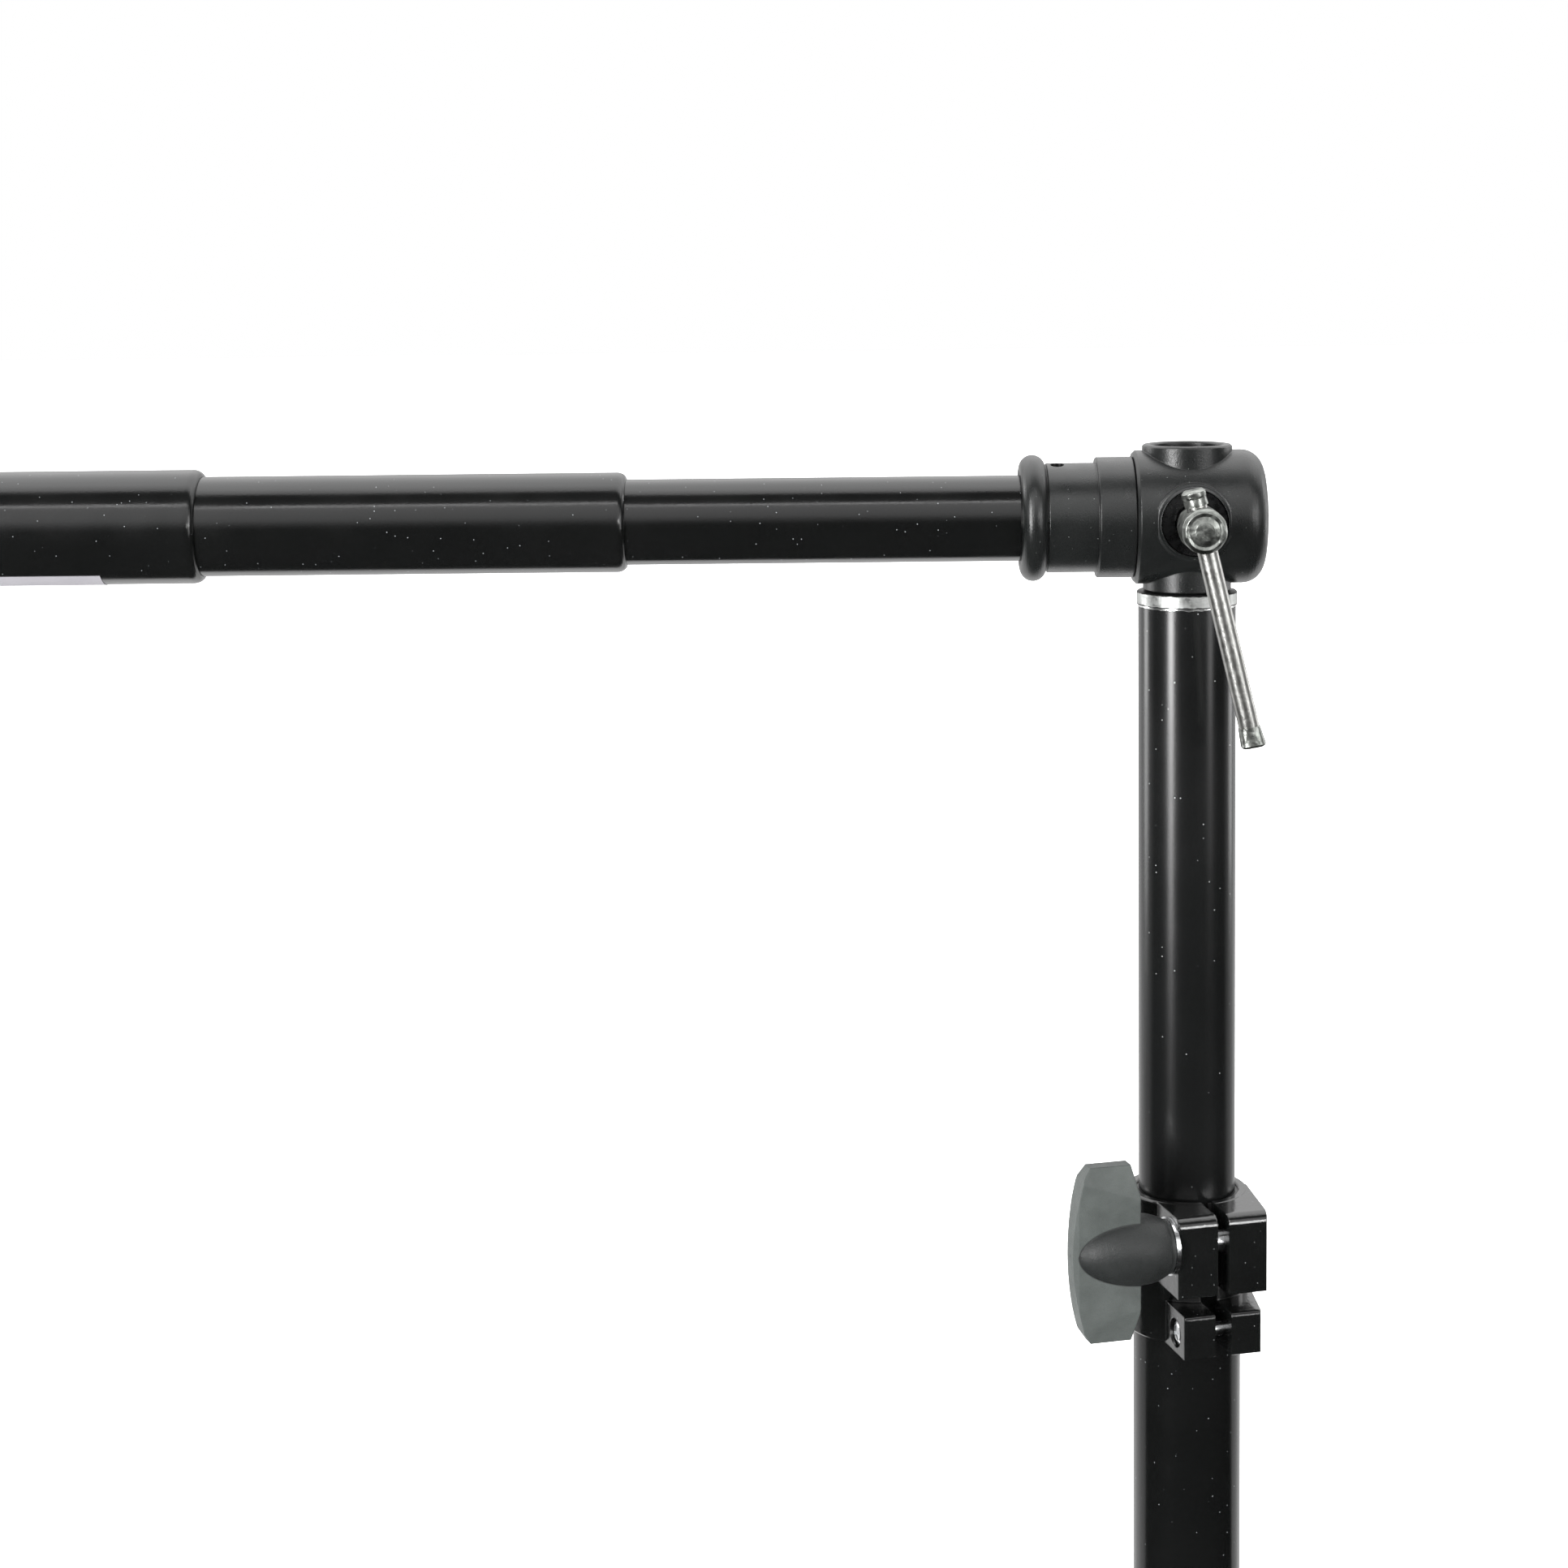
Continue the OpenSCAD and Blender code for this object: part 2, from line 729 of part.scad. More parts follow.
// The knob's hub: a short neck, a barrel, and an ogive that ends in a point
function hub_outline() =
    let (foot = lug_half[0] + 1.7, neck_r = 9.4, neck_top = foot + 1.6,
         widest = foot + 10.5, tip = 53, r = hub_d / 2, shoulder_r = 9.9)
    concat(
        [[0, foot], [neck_r, foot], [neck_r, neck_top]],
        [for (i = [0:6]) let (t = 1 - i / 6)
            [r - (r - shoulder_r) * t * t, widest - (widest - neck_top) * t]],
        [for (i = [1:11]) let (t = i / 12) [r * pow(1 - pow(t, 1.9), 0.53), widest + (tip - widest) * t]],
        [[0, tip]]
    );

// The wing's outline: its outer edge bulges, and its inner edge slants at both ends
function wing_outline() =
    let (half = wing_span / 2, edge = 48.4, bulge = 5, root = 29.9, slant = 2.4, corner = 1.4)
    concat(
        [[-half, root + slant], [10 - half, root], [half - 10, root], [half, root + slant]],
        [[half, edge - corner]],
        [for (i = [1:15]) let (y = half * (1 - i / 8)) [y, edge + bulge * (1 - pow(y / half, 2))]],
        [[-half, edge - corner]]
    );

// The wing gets thinner outwards and towards its two ends
module wing() {
    half = wing_span / 2;
    root_t = wing_root_t / 2;
    edge_t = wing_edge_t / 2;
    end_t = 2.6;
    intersection() {
        rotate([90, 0, 90]) linear_extrude(30, center = true) polygon(wing_outline());
        rotate([90, 0, 0])
            linear_extrude(80, center = true)
                polygon([
                    [-root_t, 29], [root_t, 29], [edge_t, 51.5], [edge_t - 1.2, 54],
                    [1.2 - edge_t, 54], [-edge_t, 51.5]
                ]);
        linear_extrude(60)
            polygon([
                [end_t, half], [root_t, half - 12], [root_t, 12 - half], [end_t, -half],
                [-end_t, -half], [-root_t, 12 - half], [-root_t, half - 12], [-end_t, half]
            ]);
    }
}

module wing_knob() {
    color("#3a3d3c")
        across_lugs(knob_reach, knob_drop)
            difference() {
                union() {
                    turned(hub_outline());
                    wing();
                }
                translate([0, 0, 10]) cylinder(r = knob_r + snug, h = 21.1);
            }
}

// ---- base ----

module hub_tube() {
    color("#101112")
        difference() {
            turned([
                [6, hub_foot], [hub_r + sleeve_wall - 1, hub_foot], [hub_r + sleeve_wall, hub_foot + 1],
                [hub_r + sleeve_wall, hub_floor - 0.1], [hub_r, hub_floor - 0.1],
                [hub_r, hub_clamp_z + hub_clamp_h], [column_r + snug, hub_clamp_z + hub_clamp_h],
                [column_r + snug, hub_floor - snug], [6, hub_floor - snug]
            ]);
            translate([0, 0, base_screw_z]) rotate([0, 90, 0]) cylinder(r = base_screw_r + fit, h = 40);
        }
}

// Thin nylon washers above each leg's sleeve
module hub_washers() {
    color("#d8d6cc")
        for (i = [1:3])
            tube_z(hub_floor + i * (sleeve_h + sleeve_gap) - sleeve_gap + 0.1,
                   hub_floor + i * (sleeve_h + sleeve_gap) - 0.1,
                   hub_r + sleeve_wall - 0.5, hub_r + fit);
}

// Fixed collar on top of the legs, with a boss for the base screw
module hub_clamp() {
    edge = 1;
    r = hub_r + 8;
    top = hub_clamp_z + hub_clamp_h;
    color("#101112")
        difference() {
            union() {
                turned([
                    [0, hub_clamp_z], [r - edge, hub_clamp_z], [r, hub_clamp_z + edge], [r, top - edge],
                    [r - edge, top], [0, top]
                ]);
                translate([0, 0, base_screw_z]) rotate([0, 90, 0])
                    turned([[0, 0], [11, 0], [11, 35], [10, 36], [0, 36]]);
            }
            translate([0, 0, hub_clamp_z - eps]) cylinder(r = hub_r + snug, h = hub_clamp_h + 2 * eps);
            translate([0, 0, base_screw_z]) rotate([0, 90, 0]) cylinder(r = base_screw_r + fit, h = 60);
        }
}

// Height of a leg's centre line where it leaves its sleeve: 0 is the lowest leg
function leg_z(level) = hub_floor + level * (sleeve_h + sleeve_gap) + sleeve_h / 2;

module leg_sleeve(level, yaw) {
    low = leg_z(level) - sleeve_h / 2;
    rotate([0, 0, yaw]) tube_z(low, low + sleeve_h, hub_r + sleeve_wall, hub_r + fit);
}

// A leg runs out level, turns down at 45 degrees, and ends level again at the floor
module leg_tube(level, yaw) {
    z = leg_z(level);
    drop = bend_r * (1 - cos(bend));
    slope = (z - foot_z - 2 * drop) / sin(bend);
    start = 10;
    rotate([0, 0, yaw])
        difference() {
            translate([start, 0, z]) rotate([0, 90, 0]) {
                leg_length(0, leg_run - start + lap);
                after_length(leg_run - start) {
                    leg_bend(1);
                    after_bend(1) {
                        leg_length(-lap, slope + lap);
                        after_length(slope) {
                            leg_bend(-1);
                            after_bend(-1) leg_length(-lap, foot_run);
                        }
                    }
                }
            }
            translate([0, 0, z - sleeve_h]) cylinder(r = hub_r + sleeve_wall + snug, h = 2 * sleeve_h);
        }
}

// A straight stretch of leg tube along +Z, a trifle thinner than the bends that it runs into
module leg_length(low, high) {
    tube_z(low, high, leg_d / 2 - seam, leg_bore + seam);
}

module after_length(length) {
    translate([0, 0, length]) children();
}

// A bend that starts along +Z and turns towards +X, or towards -X when side is -1
module leg_bend(side) {
    translate([side * bend_r, 0, 0])
        rotate([-90 * side, 0, 0])
            rotate([0, 0, 90 + 90 * side])
                rotate_extrude(angle = bend)
                    translate([bend_r, 0])
                        difference() {
                            circle(d = leg_d);
                            circle(r = leg_bore);
                        }
}

module after_bend(side) {
    translate([side * bend_r, 0, 0])
        rotate([0, side * bend, 0])
            translate([-side * bend_r, 0, 0]) children();
}

function foot_x(level) =
    leg_run + 2 * bend_r * sin(bend) + foot_run
    + (leg_z(level) - foot_z - 2 * bend_r * (1 - cos(bend)));

// Rubber cap with a flat underside
module leg_foot(level, yaw) {
    x = foot_x(level);
    rotate([0, 0, yaw])
        difference() {
            translate([x, 0, foot_z]) rotate([0, 90, 0])
                turned([
                    [leg_d / 2 + snug, -40], [foot_r - 1, -40], [foot_r, -39], [foot_r, 3], [foot_r - 2, 5],
                    [0, 5], [0, snug], [leg_d / 2 + snug, snug]
                ]);
            translate([x - 60, -30, -20]) cube([80, 60, 20]);
        }
}

module leg_high_sleeve() {
    color("#101112") leg_sleeve(2, leg_yaw[0]);
}

module leg_high_tube() {
    color("#101112") leg_tube(2, leg_yaw[0]);
}

module leg_high_foot() {
    color("#1c1c1c") leg_foot(2, leg_yaw[0]);
}

module leg_mid_sleeve() {
    color("#101112") leg_sleeve(1, leg_yaw[1]);
}

module leg_mid_tube() {
    color("#101112") leg_tube(1, leg_yaw[1]);
}

module leg_mid_foot() {
    color("#1c1c1c") leg_foot(1, leg_yaw[1]);
}

module leg_low_sleeve() {
    color("#101112") leg_sleeve(0, leg_yaw[2]);
}

module leg_low_tube() {
    color("#101112") leg_tube(0, leg_yaw[2]);
}

module leg_low_foot() {
    color("#1c1c1c") leg_foot(0, leg_yaw[2]);
}

// The base screw points along +X, with its bar hanging straight down
module at_base_screw() {
    translate([0, 0, base_screw_z]) rotate([0, 90, 0]) rotate([0, 0, 90]) children();
}

module base_pad() {
    color("#b9a15a") at_base_screw() pad(column_r + 0.1, base_screw_r - 0.1, 1.9);
}

module base_screw() {
    color("#9a9b98") at_base_screw() bar_screw(column_r + 2.05, base_screw_r, 45, base_bar_x);
}

module base_bar() {
    color("#c9cac8") at_base_screw() translate([0, 0, base_bar_x]) sliding_bar();
}

module base_bar_caps() {
    color("#9a9b98") at_base_screw() translate([0, 0, base_bar_x]) bar_caps();
}

hub_tube();
hub_washers();
hub_clamp();
leg_high_sleeve();
leg_high_tube();
leg_high_foot();
leg_mid_sleeve();
leg_mid_tube();
leg_mid_foot();
leg_low_sleeve();
leg_low_tube();
leg_low_foot();
column_tube();
column_plug();
collar_body();
collar_bush();
clamp_screw();
clamp_nut();
knob_nut();
knob_washer();
wing_knob();
knob_stud();
riser_bush();
riser_tube();
riser_spigot();
tee_head();
arm_socket();
set_screw();
screw_insert();
inner_arm_tube();
inner_arm_spindle();
t_pad();
t_screw();
t_bar();
t_bar_caps();
middle_lock_ring();
middle_arm_tube();
middle_mouth_bush();
middle_arm_spindle();
outer_lock_ring();
outer_arm_tube();
outer_mouth_bush();
end_spigot();
base_pad();
base_screw();
base_bar();
base_bar_caps();
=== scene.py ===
"""Light stand with a tee head and a telescopic crossbar: materials, detailed pieces, light and camera."""
import json
import math

import bmesh
import bpy
from mathutils import Matrix, Vector, noise

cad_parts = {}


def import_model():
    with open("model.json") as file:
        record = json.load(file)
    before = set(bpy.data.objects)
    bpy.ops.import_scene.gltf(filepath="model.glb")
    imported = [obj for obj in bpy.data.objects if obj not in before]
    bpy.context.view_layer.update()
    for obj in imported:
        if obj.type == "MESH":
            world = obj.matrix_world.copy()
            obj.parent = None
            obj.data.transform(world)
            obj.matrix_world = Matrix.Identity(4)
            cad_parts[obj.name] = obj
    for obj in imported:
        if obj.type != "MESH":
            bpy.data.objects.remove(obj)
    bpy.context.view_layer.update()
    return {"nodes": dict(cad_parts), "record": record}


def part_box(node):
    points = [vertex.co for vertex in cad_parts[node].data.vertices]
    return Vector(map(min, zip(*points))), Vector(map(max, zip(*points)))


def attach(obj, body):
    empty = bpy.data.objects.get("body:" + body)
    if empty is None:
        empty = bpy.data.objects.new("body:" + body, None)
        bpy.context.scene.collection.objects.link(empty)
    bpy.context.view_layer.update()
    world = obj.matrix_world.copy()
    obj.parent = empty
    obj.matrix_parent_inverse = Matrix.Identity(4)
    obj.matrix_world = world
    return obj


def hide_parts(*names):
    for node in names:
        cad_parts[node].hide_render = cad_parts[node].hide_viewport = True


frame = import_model()
NODES = frame["nodes"]
MM = 0.001

X = Vector((1, 0, 0))
Y = Vector((0, 1, 0))
Z = Vector((0, 0, 1))


def centre(node):
    low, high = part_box(node)
    return (Vector(low) + Vector(high)) / 2


# Places that everything else is measured from, in metres.
TEE = centre("arm_socket")
HEAD_AXIS = Vector((0, 0, TEE.z))


# ---------------------------------------------------------------- mesh helpers

def new_object(name, mesh):
    obj = bpy.data.objects.new(name, mesh)
    bpy.context.scene.collection.objects.link(obj)
    return obj


def smooth(obj, angle=30):
    obj.data.shade_smooth()
    obj.data.set_sharp_from_angle(angle=math.radians(angle))
    return obj


def rounded(points):
    """Outline with rounded corners. A point is (radius, height) or (radius, height, corner radius)."""
    steps = 5
    out = []
    for i, point in enumerate(points):
        p = Vector(point[:2])
        r = point[2] if len(point) > 2 else 0
        if not r or i in (0, len(points) - 1):
            out.append(p)
            continue
        before = Vector(points[i - 1][:2]) - p
        after = Vector(points[i + 1][:2]) - p
        half = before.angle(after) / 2
        back = min(r / math.tan(half), before.length * 0.49, after.length * 0.49)
        start = p + before.normalized() * back
        end = p + after.normalized() * back
        for k in range(steps + 1):
            t = k / steps
            out.append(start * (1 - t) ** 2 + p * 2 * t * (1 - t) + end * t ** 2)
    return out


def dense(points, step):
    """The same outline with points added, so that no two are farther apart than a step."""
    out = []
    for a, b in zip(points, points[1:]):
        count = max(1, math.ceil((b - a).length / step))
        out += [a.lerp(b, k / count) for k in range(count)]
    return out + [points[-1]]


def to_axis(origin, direction, up=Z):
    """Matrix that takes +Z to a direction, with +Y as near as it can be to up."""
    z = Vector(direction).normalized()
    y = Vector(up) - Vector(up).dot(z) * z
    if y.length < 1e-6:
        y = X - X.dot(z) * z
    y.normalize()
    x = y.cross(z)
    turn = Matrix((x, y, z)).transposed().to_4x4()
    return Matrix.Translation(origin) @ turn


def add_lathe(bm, points, matrix, segments=96):
    """Adds a solid of revolution to a bmesh; a point on the axis closes that end."""
    rings = []
    for r, h in points:
        if r < 1e-7:
            rings.append([bm.verts.new(matrix @ Vector((0, 0, h)))])
            continue
        ring = []
        for k in range(segments):
            a = 2 * math.pi * k / segments
            ring.append(bm.verts.new(matrix @ Vector((r * math.cos(a), r * math.sin(a), h))))
        rings.append(ring)
    for low, high in zip(rings, rings[1:]):
        for k in range(segments):
            n = (k + 1) % segments
            corners = [low[k % len(low)], low[n % len(low)], high[n % len(high)], high[k % len(high)]]
            face = list(dict.fromkeys(corners))
            if len(face) > 2:
                bm.faces.new(face)
    return rings


def finish_bmesh(name, bm, angle=30):
    bmesh.ops.recalc_face_normals(bm, faces=bm.faces)
    mesh = bpy.data.meshes.new(name)
    bm.to_mesh(mesh)
    bm.free()
    return smooth(new_object(name, mesh), angle)


def lathe(name, points, origin, direction, segments=96, up=Z, step=50):
    """A closed turned piece. Its outline is in millimetres, as (radius, height, corner radius)."""
    bm = bmesh.new()
    outline = [(p[0] * MM, p[1] * MM) for p in dense(rounded(points), step)]
    rings = add_lathe(bm, outline, to_axis(origin, direction, up), segments)
    if len(rings[0]) > 1 and len(rings[-1]) > 1:
        for k in range(segments):
            n = (k + 1) % segments
            bm.faces.new([rings[-1][k], rings[-1][n], rings[0][n], rings[0][k]])
    return finish_bmesh(name, bm)


def reshape(obj, change):
    """Moves each point of a mesh to where a function of the point and its normal puts it."""
    bm = bmesh.new()
    bm.from_mesh(obj.data)
    bm.normal_update()
    for v, place in [(v, change(v.co, v.normal)) for v in bm.verts]:
        v.co = place
    bm.to_mesh(obj.data)
    bm.free()


def worn(obj, depth, size):
    """Shallow dents all over, as on a rough casting. Nothing moves outwards."""
    def dent(place, normal):
        return place - normal * depth * MM * (0.5 + 0.5 * noise.noise(place / (size * MM)))
    reshape(obj, dent)


def combine(obj, other, operation):
    """Joins another solid to this one, or cuts it away, and clears the other one."""
    step = obj.modifiers.new(operation.lower(), "BOOLEAN")
    step.operation = operation
    step.solver = "EXACT"
    step.object = other
    result = obj.evaluated_get(bpy.context.evaluated_depsgraph_get())
    mesh = bpy.data.meshes.new_from_object(result)
    obj.modifiers.remove(step)
    obj.data = mesh
    bpy.data.objects.remove(other)
    smooth(obj, 35)


# ---------------------------------------------------------------- material helpers

class Graph:
    """Short ways of adding nodes to one node tree."""

    def __init__(self, tree):
        self.nodes = tree.nodes
        self.links = tree.links

    def ramp(self, value, low, high, at_low, at_high):
        node = self.nodes.new("ShaderNodeMapRange")
        node.inputs["From Min"].default_value = low
        node.inputs["From Max"].default_value = high
        node.inputs["To Min"].default_value = at_low
        node.inputs["To Max"].default_value = at_high
        self.links.new(value, node.inputs["Value"])
        return node.outputs["Result"]

    def math(self, operation, a, b):
        node = self.nodes.new("ShaderNodeMath")
        node.operation = operation
        for value, socket in ((a, node.inputs[0]), (b, node.inputs[1])):
            if isinstance(value, (int, float)):
                socket.default_value = value
            else:
                self.links.new(value, socket)
        return node.outputs[0]


class Shader(Graph):
    """The node tree of one new material."""

    def __init__(self, name):
        self.material = bpy.data.materials.new(name)
        self.material.use_nodes = True
        super().__init__(self.material.node_tree)
        self.bsdf = self.nodes["Principled BSDF"]
        self.place = self.nodes.new("ShaderNodeTexCoord").outputs["Object"]

    def round_edges(self, radius):
        """Shades the edges as if they had a small radius, in millimetres; it goes before any bump."""
        node = self.nodes.new("ShaderNodeBevel")
        node.samples = 8
        node.inputs["Radius"].default_value = radius * MM
        self.link(node.outputs["Normal"], "Normal")

    def set(self, **values):
        for key, value in values.items():
            self.bsdf.inputs[key.replace("_", " ")].default_value = value

    def link(self, output, input_name):
        self.links.new(output, self.bsdf.inputs[input_name])

    def mapped(self, scale):
        node = self.nodes.new("ShaderNodeMapping")
        node.inputs["Scale"].default_value = scale
        self.links.new(self.place, node.inputs["Vector"])
        return node.outputs["Vector"]

    def noise(self, scale, detail=3, stretch=(1, 1, 1), roughness=0.5):
        node = self.nodes.new("ShaderNodeTexNoise")
        node.inputs["Scale"].default_value = scale
        node.inputs["Detail"].default_value = detail
        node.inputs["Roughness"].default_value = roughness
        self.links.new(self.mapped(stretch), node.inputs["Vector"])
        return node.outputs["Fac"]

    def specks(self, scale, size):
        """1 in small scattered dots and 0 elsewhere."""
        cells = self.nodes.new("ShaderNodeTexVoronoi")
        cells.inputs["Scale"].default_value = scale
        self.links.new(self.place, cells.inputs["Vector"])
        dot = self.ramp(cells.outputs["Distance"], size * 0.6, size, 1, 0)
        chosen = self.nodes.new("ShaderNodeSeparateColor")
        self.links.new(cells.outputs["Color"], chosen.inputs["Color"])
        few = self.ramp(chosen.outputs["Red"], 0.90, 0.92, 0, 1)
        return self.math("MULTIPLY", dot, few)

    def vector(self, operation, a, b=None, output="Vector"):
        node = self.nodes.new("ShaderNodeVectorMath")
        node.operation = operation
        self.links.new(a, node.inputs[0])
        if b is not None:
            node.inputs[1].default_value = b
        return node.outputs[output]

    def from_point(self, point):
        return self.vector("SUBTRACT", self.place, point)

    def from_axis(self, point, along):
        """Distance from a straight line through a point."""
        across = self.vector("CROSS_PRODUCT", self.from_point(point), along)
        return self.vector("LENGTH", across, output="Value")

    def above(self, level, ragged, scale):
        """1 above a ragged line round the part, which runs at most so far below a height, and 0 under it."""
        split = self.nodes.new("ShaderNodeSeparateXYZ")
        self.links.new(self.place, split.inputs["Vector"])
        wander = self.math("MULTIPLY", self.noise(scale, 4), ragged)
        return self.ramp(self.math("ADD", split.outputs["Z"], wander), level, level + 0.0001, 0, 1)

    def mix(self, factor, a, b):
        node = self.nodes.new("ShaderNodeMix")
        node.data_type = "RGBA"
        self.links.new(factor, node.inputs["Factor"])
        for value, socket in ((a, node.inputs["A"]), (b, node.inputs["B"])):
            if isinstance(value, tuple):
                socket.default_value = (*value, 1)
            else:
                self.links.new(value, socket)
        return node.outputs["Result"]

    def bump(self, height, strength, distance):
        node = self.nodes.new("ShaderNodeBump")
        node.inputs["Strength"].default_value = strength
        node.inputs["Distance"].default_value = distance
        self.links.new(height, node.inputs["Height"])
        previous = self.bsdf.inputs["Normal"].links
        if previous:
            self.links.new(previous[0].from_socket, node.inputs["Normal"])
        self.link(node.outputs["Normal"], "Normal")


def gloss_paint():
    s = Shader("gloss_black_paint")
    s.set(IOR=1.5)
    tone = s.mix(s.noise(18, 4), (0.0022, 0.0024, 0.0024), (0.0042, 0.0045, 0.0044))
    s.link(s.mix(s.specks(700, 0.13), tone, (0.30, 0.32, 0.33)), "Base Color")
    s.link(s.ramp(s.noise(60, 3), 0.3, 0.7, 0.13, 0.20), "Roughness")
    s.bump(s.noise(1400, 2), 0.10, 0.0002)
    return s.material


def lumpy_paint():
    s = Shader("lumpy_gloss_paint")
    s.set(IOR=1.5, Coat_Weight=0.3, Coat_Roughness=0.05)
    tone = s.mix(s.noise(40, 4), (0.0022, 0.0024, 0.0024), (0.0055, 0.006, 0.0058))
    s.link(s.mix(s.specks(900, 0.12), tone, (0.4, 0.42, 0.42)), "Base Color")
    s.link(s.ramp(s.noise(120, 3), 0.3, 0.7, 0.08, 0.18), "Roughness")
    s.round_edges(0.8)
    s.bump(s.noise(220, 2), 0.25, 0.0006)
    s.bump(s.noise(1500, 2), 0.15, 0.0002)
    return s.material


def satin_paint():
    s = Shader("satin_black_paint")
    s.set(IOR=1.5)
    tone = s.mix(s.noise(25, 4), (0.0035, 0.0036, 0.0036), (0.007, 0.0072, 0.0072))
    s.link(s.mix(s.specks(420, 0.10), tone, (0.5, 0.52, 0.52)), "Base Color")
    s.link(s.ramp(s.noise(90, 4), 0.3, 0.7, 0.30, 0.40), "Roughness")
    s.bump(s.noise(2600, 2), 0.25, 0.0002)
    return s.material


def cast_paint():
    s = Shader("cast_black_paint")
    s.set(IOR=1.5)
    tone = s.mix(s.noise(60, 5), (0.0035, 0.004, 0.004), (0.008, 0.009, 0.0088))
    s.link(s.mix(s.specks(800, 0.10), tone, (0.30, 0.32, 0.31)), "Base Color")
    s.link(s.ramp(s.noise(150, 4), 0.3, 0.7, 0.26, 0.35), "Roughness")
    s.round_edges(0.5)
    s.bump(s.noise(2400, 3), 0.35, 0.0002)
    return s.material


def riser_paint():
    """Smooth black paint that is chipped to the bare tube along the riser's top edge."""
    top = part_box("riser_tube")[1][2]
    s = Shader("riser_paint")
    s.set(IOR=1.5)
    tone = s.mix(s.noise(25, 4), (0.0028, 0.003, 0.003), (0.0055, 0.006, 0.006))
    dusty = s.mix(s.specks(500, 0.10), tone, (0.45, 0.47, 0.47))
    flakes = s.math("MULTIPLY", s.above(top - 0.009, 0.004, 90), s.ramp(s.noise(620, 3), 0.73, 0.75, 0, 1))
    bare = s.math("MAXIMUM", s.above(top - 0.0001, 0.0012, 420), flakes)
    s.link(s.mix(bare, dusty, (0.80, 0.81, 0.80)), "Base Color")
    s.link(bare, "Metallic")
    s.link(s.ramp(s.noise(30, 3), 0.3, 0.7, 0.20, 0.26), "Roughness")
    s.bump(bare, 0.5, 0.0001)
    s.bump(s.noise(1800, 2), 0.05, 0.0002)
    return s.material


# How far under the crossbar's axis the bright ring's two edges are, in metres.
RING_UPPER = 0.0259
RING_LOWER = 0.0305


def ring_metal():
    """Bare aluminium with black paint that has strayed over the ring's two edges."""
    s = Shader("ring_aluminium")
    upper = s.above(TEE.z - RING_UPPER, 0.0010, 500)
    lower = s.ramp(s.above(TEE.z - RING_LOWER + 0.0008, 0.0009, 460), 0, 1, 1, 0)
    strayed = s.math("MAXIMUM", upper, lower)
    bare = s.mix(s.noise(700, 4, (1, 1, 3)), (0.36, 0.37, 0.36), (0.60, 0.61, 0.60))
    s.link(s.mix(strayed, bare, (0.006, 0.006, 0.006)), "Base Color")
    s.link(s.ramp(strayed, 0, 1, 1, 0), "Metallic")
    s.link(s.ramp(s.noise(500, 3), 0.3, 0.7, 0.32, 0.5), "Roughness")
    s.bump(s.noise(1100, 3), 0.3, 0.0002)
    return s.material


# The knob's pointed hub, in metres from its foot, and the two powers of its outline; inside this outline the
# hub is painted darker than the wing, as painted shade.
KNOB_FOOT = 0.01725
HUB_R = 0.0122
HUB_WIDEST = 0.0286
HUB_TIP = 0.053
HUB_FULLNESS = 1.9
HUB_BLUNTNESS = 0.53


def knob_plastic_painted_light_and_shade():
    """Dark grained plastic of one colour, with painted light on the wing, which is paler, and painted shade
    on the pointed hub, which is darker.
    """
    washer = centre("knob_washer")
    along = (washer - centre("knob_stud")).normalized()
    foot = washer - along * KNOB_FOOT
    s = Shader("grained_knob_plastic_painted_light_and_shade")
    s.set(IOR=1.48)
    # One plastic in two tones: a darker one as painted shade on the hub and a paler one as painted light on
    # the wing.
    shaded_hub_tone = s.mix(s.noise(90, 5), (0.006, 0.007, 0.007), (0.015, 0.017, 0.0165))
    lit_wing_tone = s.mix(s.noise(110, 6, roughness=0.65), (0.0275, 0.032, 0.030), (0.071, 0.081, 0.0765))
    t = s.ramp(s.vector("DOT_PRODUCT", s.from_point(foot), along, "Value"), HUB_WIDEST, HUB_TIP, 0, 1)
    taper = s.math("POWER", s.math("SUBTRACT", 1, s.math("POWER", t, HUB_FULLNESS)), HUB_BLUNTNESS)
    hub_shade_margin = s.math("SUBTRACT", s.math("MULTIPLY", taper, HUB_R), s.from_axis(foot, along))
    # Painted shade inside the hub's outline, painted light on the wing outside it.
    s.link(s.mix(s.ramp(hub_shade_margin, -0.0006, -0.0002, 0, 1), lit_wing_tone, shaded_hub_tone), "Base Color")
    s.link(s.ramp(s.noise(200, 3), 0.3, 0.7, 0.42, 0.55), "Roughness")
    s.round_edges(0.7)
    s.bump(s.noise(2200, 4), 0.6, 0.00025)
    return s.material


def metal(name, dark, light, rough, grain, stretch=(1, 1, 1), bump=0.1):
    """Bare metal in two close tones; rough holds the lowest and the highest roughness."""
    scale = 300
    s = Shader(name)
    s.set(Metallic=1.0)
    s.link(s.mix(s.noise(scale, 4, stretch), dark, light), "Base Color")
    s.link(s.ramp(s.noise(scale * 1.7, 3, stretch), 0.3, 0.7, *rough), "Roughness")
    s.bump(s.noise(grain, 3, stretch), bump, 0.0002)
    return s.material


def plain_plastic(name, dark, light, rough):
    s = Shader(name)
    s.link(s.mix(s.noise(80, 3), dark, light), "Base Color")
    s.link(s.ramp(s.noise(160, 3), 0.3, 0.7, rough - 0.05, rough + 0.05), "Roughness")
    s.bump(s.noise(1500, 2), 0.15, 0.0002)
    return s.material


